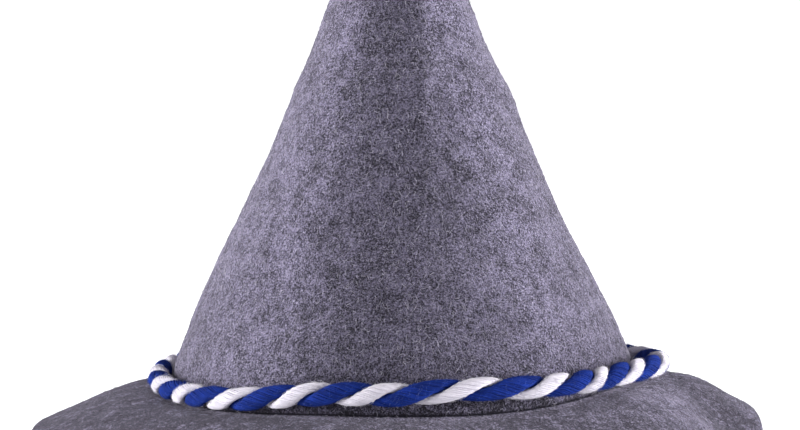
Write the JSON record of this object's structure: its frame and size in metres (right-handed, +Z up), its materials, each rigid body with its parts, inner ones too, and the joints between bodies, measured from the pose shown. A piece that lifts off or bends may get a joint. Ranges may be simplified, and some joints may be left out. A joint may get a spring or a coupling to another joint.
{
  "type": "tyrolean hat",
  "caption": "Tall conical felt hat moulded in one piece with its drooping brim, with a two-colour twisted cord round the foot of the crown.",
  "frame": {"origin": "centre of the bounding box, on the surface that the rim rests on", "axes": "+Z up through the tip of the crown, the front of the hat towards -Y, the wearer's left towards +X"},
  "size_m": [0.2882, 0.3022, 0.2121],
  "materials": {
    "grey_felt": "mottled grey wool felt with a violet cast, matt, with short surface fibres",
    "blue_yarn": "royal blue soft-twisted yarn, matt with a slight sheen",
    "white_yarn": "cool white soft-twisted yarn, matt"
  },
  "bodies": {
    "root": {"felt_body": "grey_felt", "cord_blue": "blue_yarn", "cord_white": "white_yarn"}
  },
  "joints": []
}
